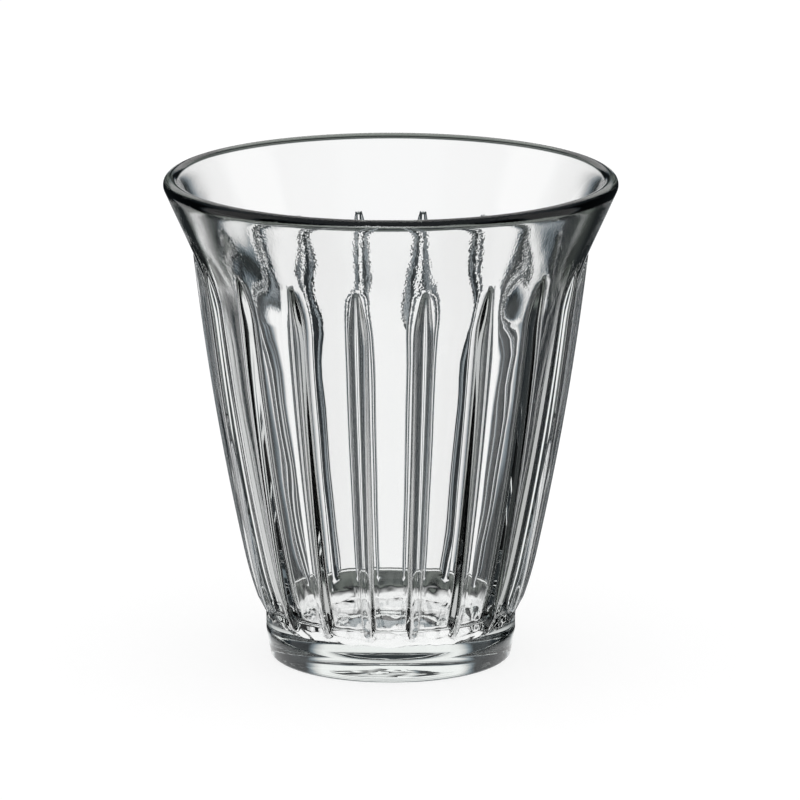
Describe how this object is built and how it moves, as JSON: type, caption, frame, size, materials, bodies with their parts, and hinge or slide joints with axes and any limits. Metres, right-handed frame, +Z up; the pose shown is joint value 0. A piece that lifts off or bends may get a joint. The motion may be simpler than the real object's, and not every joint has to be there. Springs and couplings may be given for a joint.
{
  "type": "chai glass",
  "caption": "Clear pressed tea glass with a thick round foot, raised vertical ribs with arched tops, a plain flared upper band and a rounded lip.",
  "frame": {"origin": "centre of the standing ring, on the plane that the glass rests on", "axes": "+Z up along the glass's axis; one rib points along +X, and a plain panel faces -Y"},
  "size_m": [0.0877, 0.0876, 0.095],
  "materials": {
    "clear_glass": "clear pressed and fire-polished, faint grey-green tint"
  },
  "bodies": {
    "root": {"foot": "clear_glass", "wall": "clear_glass", "flare": "clear_glass", "lip": "clear_glass", "rib_01": "clear_glass", "rib_02": "clear_glass", "rib_03": "clear_glass", "rib_04": "clear_glass", "rib_05": "clear_glass", "rib_06": "clear_glass", "rib_07": "clear_glass", "rib_08": "clear_glass", "rib_09": "clear_glass", "rib_10": "clear_glass", "rib_11": "clear_glass", "rib_12": "clear_glass", "rib_13": "clear_glass", "rib_14": "clear_glass", "rib_15": "clear_glass", "rib_16": "clear_glass", "rib_17": "clear_glass", "rib_18": "clear_glass"}
  },
  "joints": []
}
